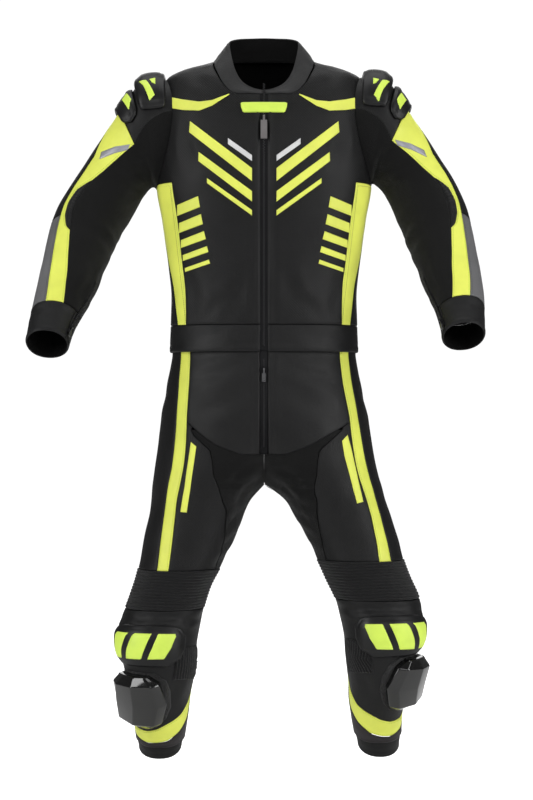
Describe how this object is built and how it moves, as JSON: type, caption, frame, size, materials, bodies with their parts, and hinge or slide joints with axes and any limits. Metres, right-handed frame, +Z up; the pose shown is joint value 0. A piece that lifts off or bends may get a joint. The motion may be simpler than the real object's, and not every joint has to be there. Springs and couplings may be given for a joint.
{
  "type": "motorcycle race suit",
  "caption": "Two-piece leather motorcycle race suit in black and lime, filled out as if worn and empty inside: jacket with armoured shoulders, trousers with ribbed knees and knee sliders.",
  "frame": {"origin": "the middle of the neck opening, where the wearer's neck and shoulders carry the suit", "axes": "+Z up, -Y to the front of the suit, +X to the wearer's left"},
  "size_m": [0.8334, 0.3613, 1.3708],
  "materials": {
    "black_leather": "smooth black cowhide with a low sheen, finely perforated on the chest and thighs",
    "lime_leather": "fluorescent lime leather",
    "grey_leather": "dark grey leather",
    "stretch": "matt black stretch cloth",
    "armour": "black moulded armour",
    "zip": "black zip tape with its teeth and slider",
    "pull": "black moulded pull tab"
  },
  "bodies": {
    "suit": {"sleeve_cap_R": "black_leather", "sleeve_lime_R": "lime_leather", "sleeve_outer_R": "black_leather", "sleeve_stretch_R": "stretch", "elbow_ribs_R": "stretch", "forearm_R": "grey_leather", "cuff_R": "stretch", "cuff_zip_R": "zip", "shoulder_upper_R": "armour", "shoulder_lower_R": "armour", "trouser_front_R": "black_leather", "crotch_R": "stretch", "thigh_front_R": "black_leather", "leg_stripe_R": "lime_leather", "trouser_back_R": "black_leather", "knee_accordion_R": "stretch", "calf_R": "black_leather", "knee_panel_R": "black_leather", "shin_band_R": "lime_leather", "shin_R": "black_leather", "leg_cuff_R": "stretch", "knee_cup_R": "armour", "knee_slider_R": "armour", "front_R": "black_leather", "side_stripe_R": "lime_leather", "sleeve_cap_L": "black_leather", "sleeve_lime_L": "lime_leather", "sleeve_outer_L": "black_leather", "sleeve_stretch_L": "stretch", "elbow_ribs_L": "stretch", "forearm_L": "grey_leather", "cuff_L": "stretch", "cuff_zip_L": "zip", "shoulder_upper_L": "armour", "shoulder_lower_L": "armour", "trouser_front_L": "black_leather", "crotch_L": "stretch", "thigh_front_L": "black_leather", "leg_stripe_L": "lime_leather", "trouser_back_L": "black_leather", "knee_accordion_L": "stretch", "calf_L": "black_leather", "knee_panel_L": "black_leather", "shin_band_L": "lime_leather", "shin_L": "black_leather", "leg_cuff_L": "stretch", "knee_cup_L": "armour", "knee_slider_L": "armour", "front_L": "black_leather", "side_stripe_L": "lime_leather", "back": "black_leather", "hem_band": "black_leather", "collar": "black_leather", "front_zip": "zip", "chest_tab": "lime_leather", "fly_zip": "zip"},
    "front_pull": {"front_zip_pull": "pull"},
    "fly_pull": {"fly_zip_pull": "pull"},
    "cuff_pull_right": {"cuff_zip_R_pull": "pull"},
    "cuff_pull_left": {"cuff_zip_L_pull": "pull"}
  },
  "joints": [
    {"name": "front_pull_swing", "type": "hinge", "parent": "suit", "child": "front_pull", "pos_m": [0, -0.12354, -0.1001], "axis": [-1, 0, 0], "range_deg": [0, 130]},
    {"name": "fly_pull_swing", "type": "hinge", "parent": "suit", "child": "fly_pull", "pos_m": [0, -0.12266, -0.566], "axis": [-1, 0, 0], "range_deg": [0, 150]},
    {"name": "cuff_pull_right_swing", "type": "hinge", "parent": "suit", "child": "cuff_pull_right", "pos_m": [-0.34566, -0.20145, -0.49282], "axis": [-0.3598, -0.7023, 0.6142], "range_deg": [0, 150]},
    {"name": "cuff_pull_left_swing", "type": "hinge", "parent": "suit", "child": "cuff_pull_left", "pos_m": [0.31812, -0.20103, -0.48091], "axis": [-0.3637, 0.6939, -0.6214], "range_deg": [0, 150]}
  ]
}
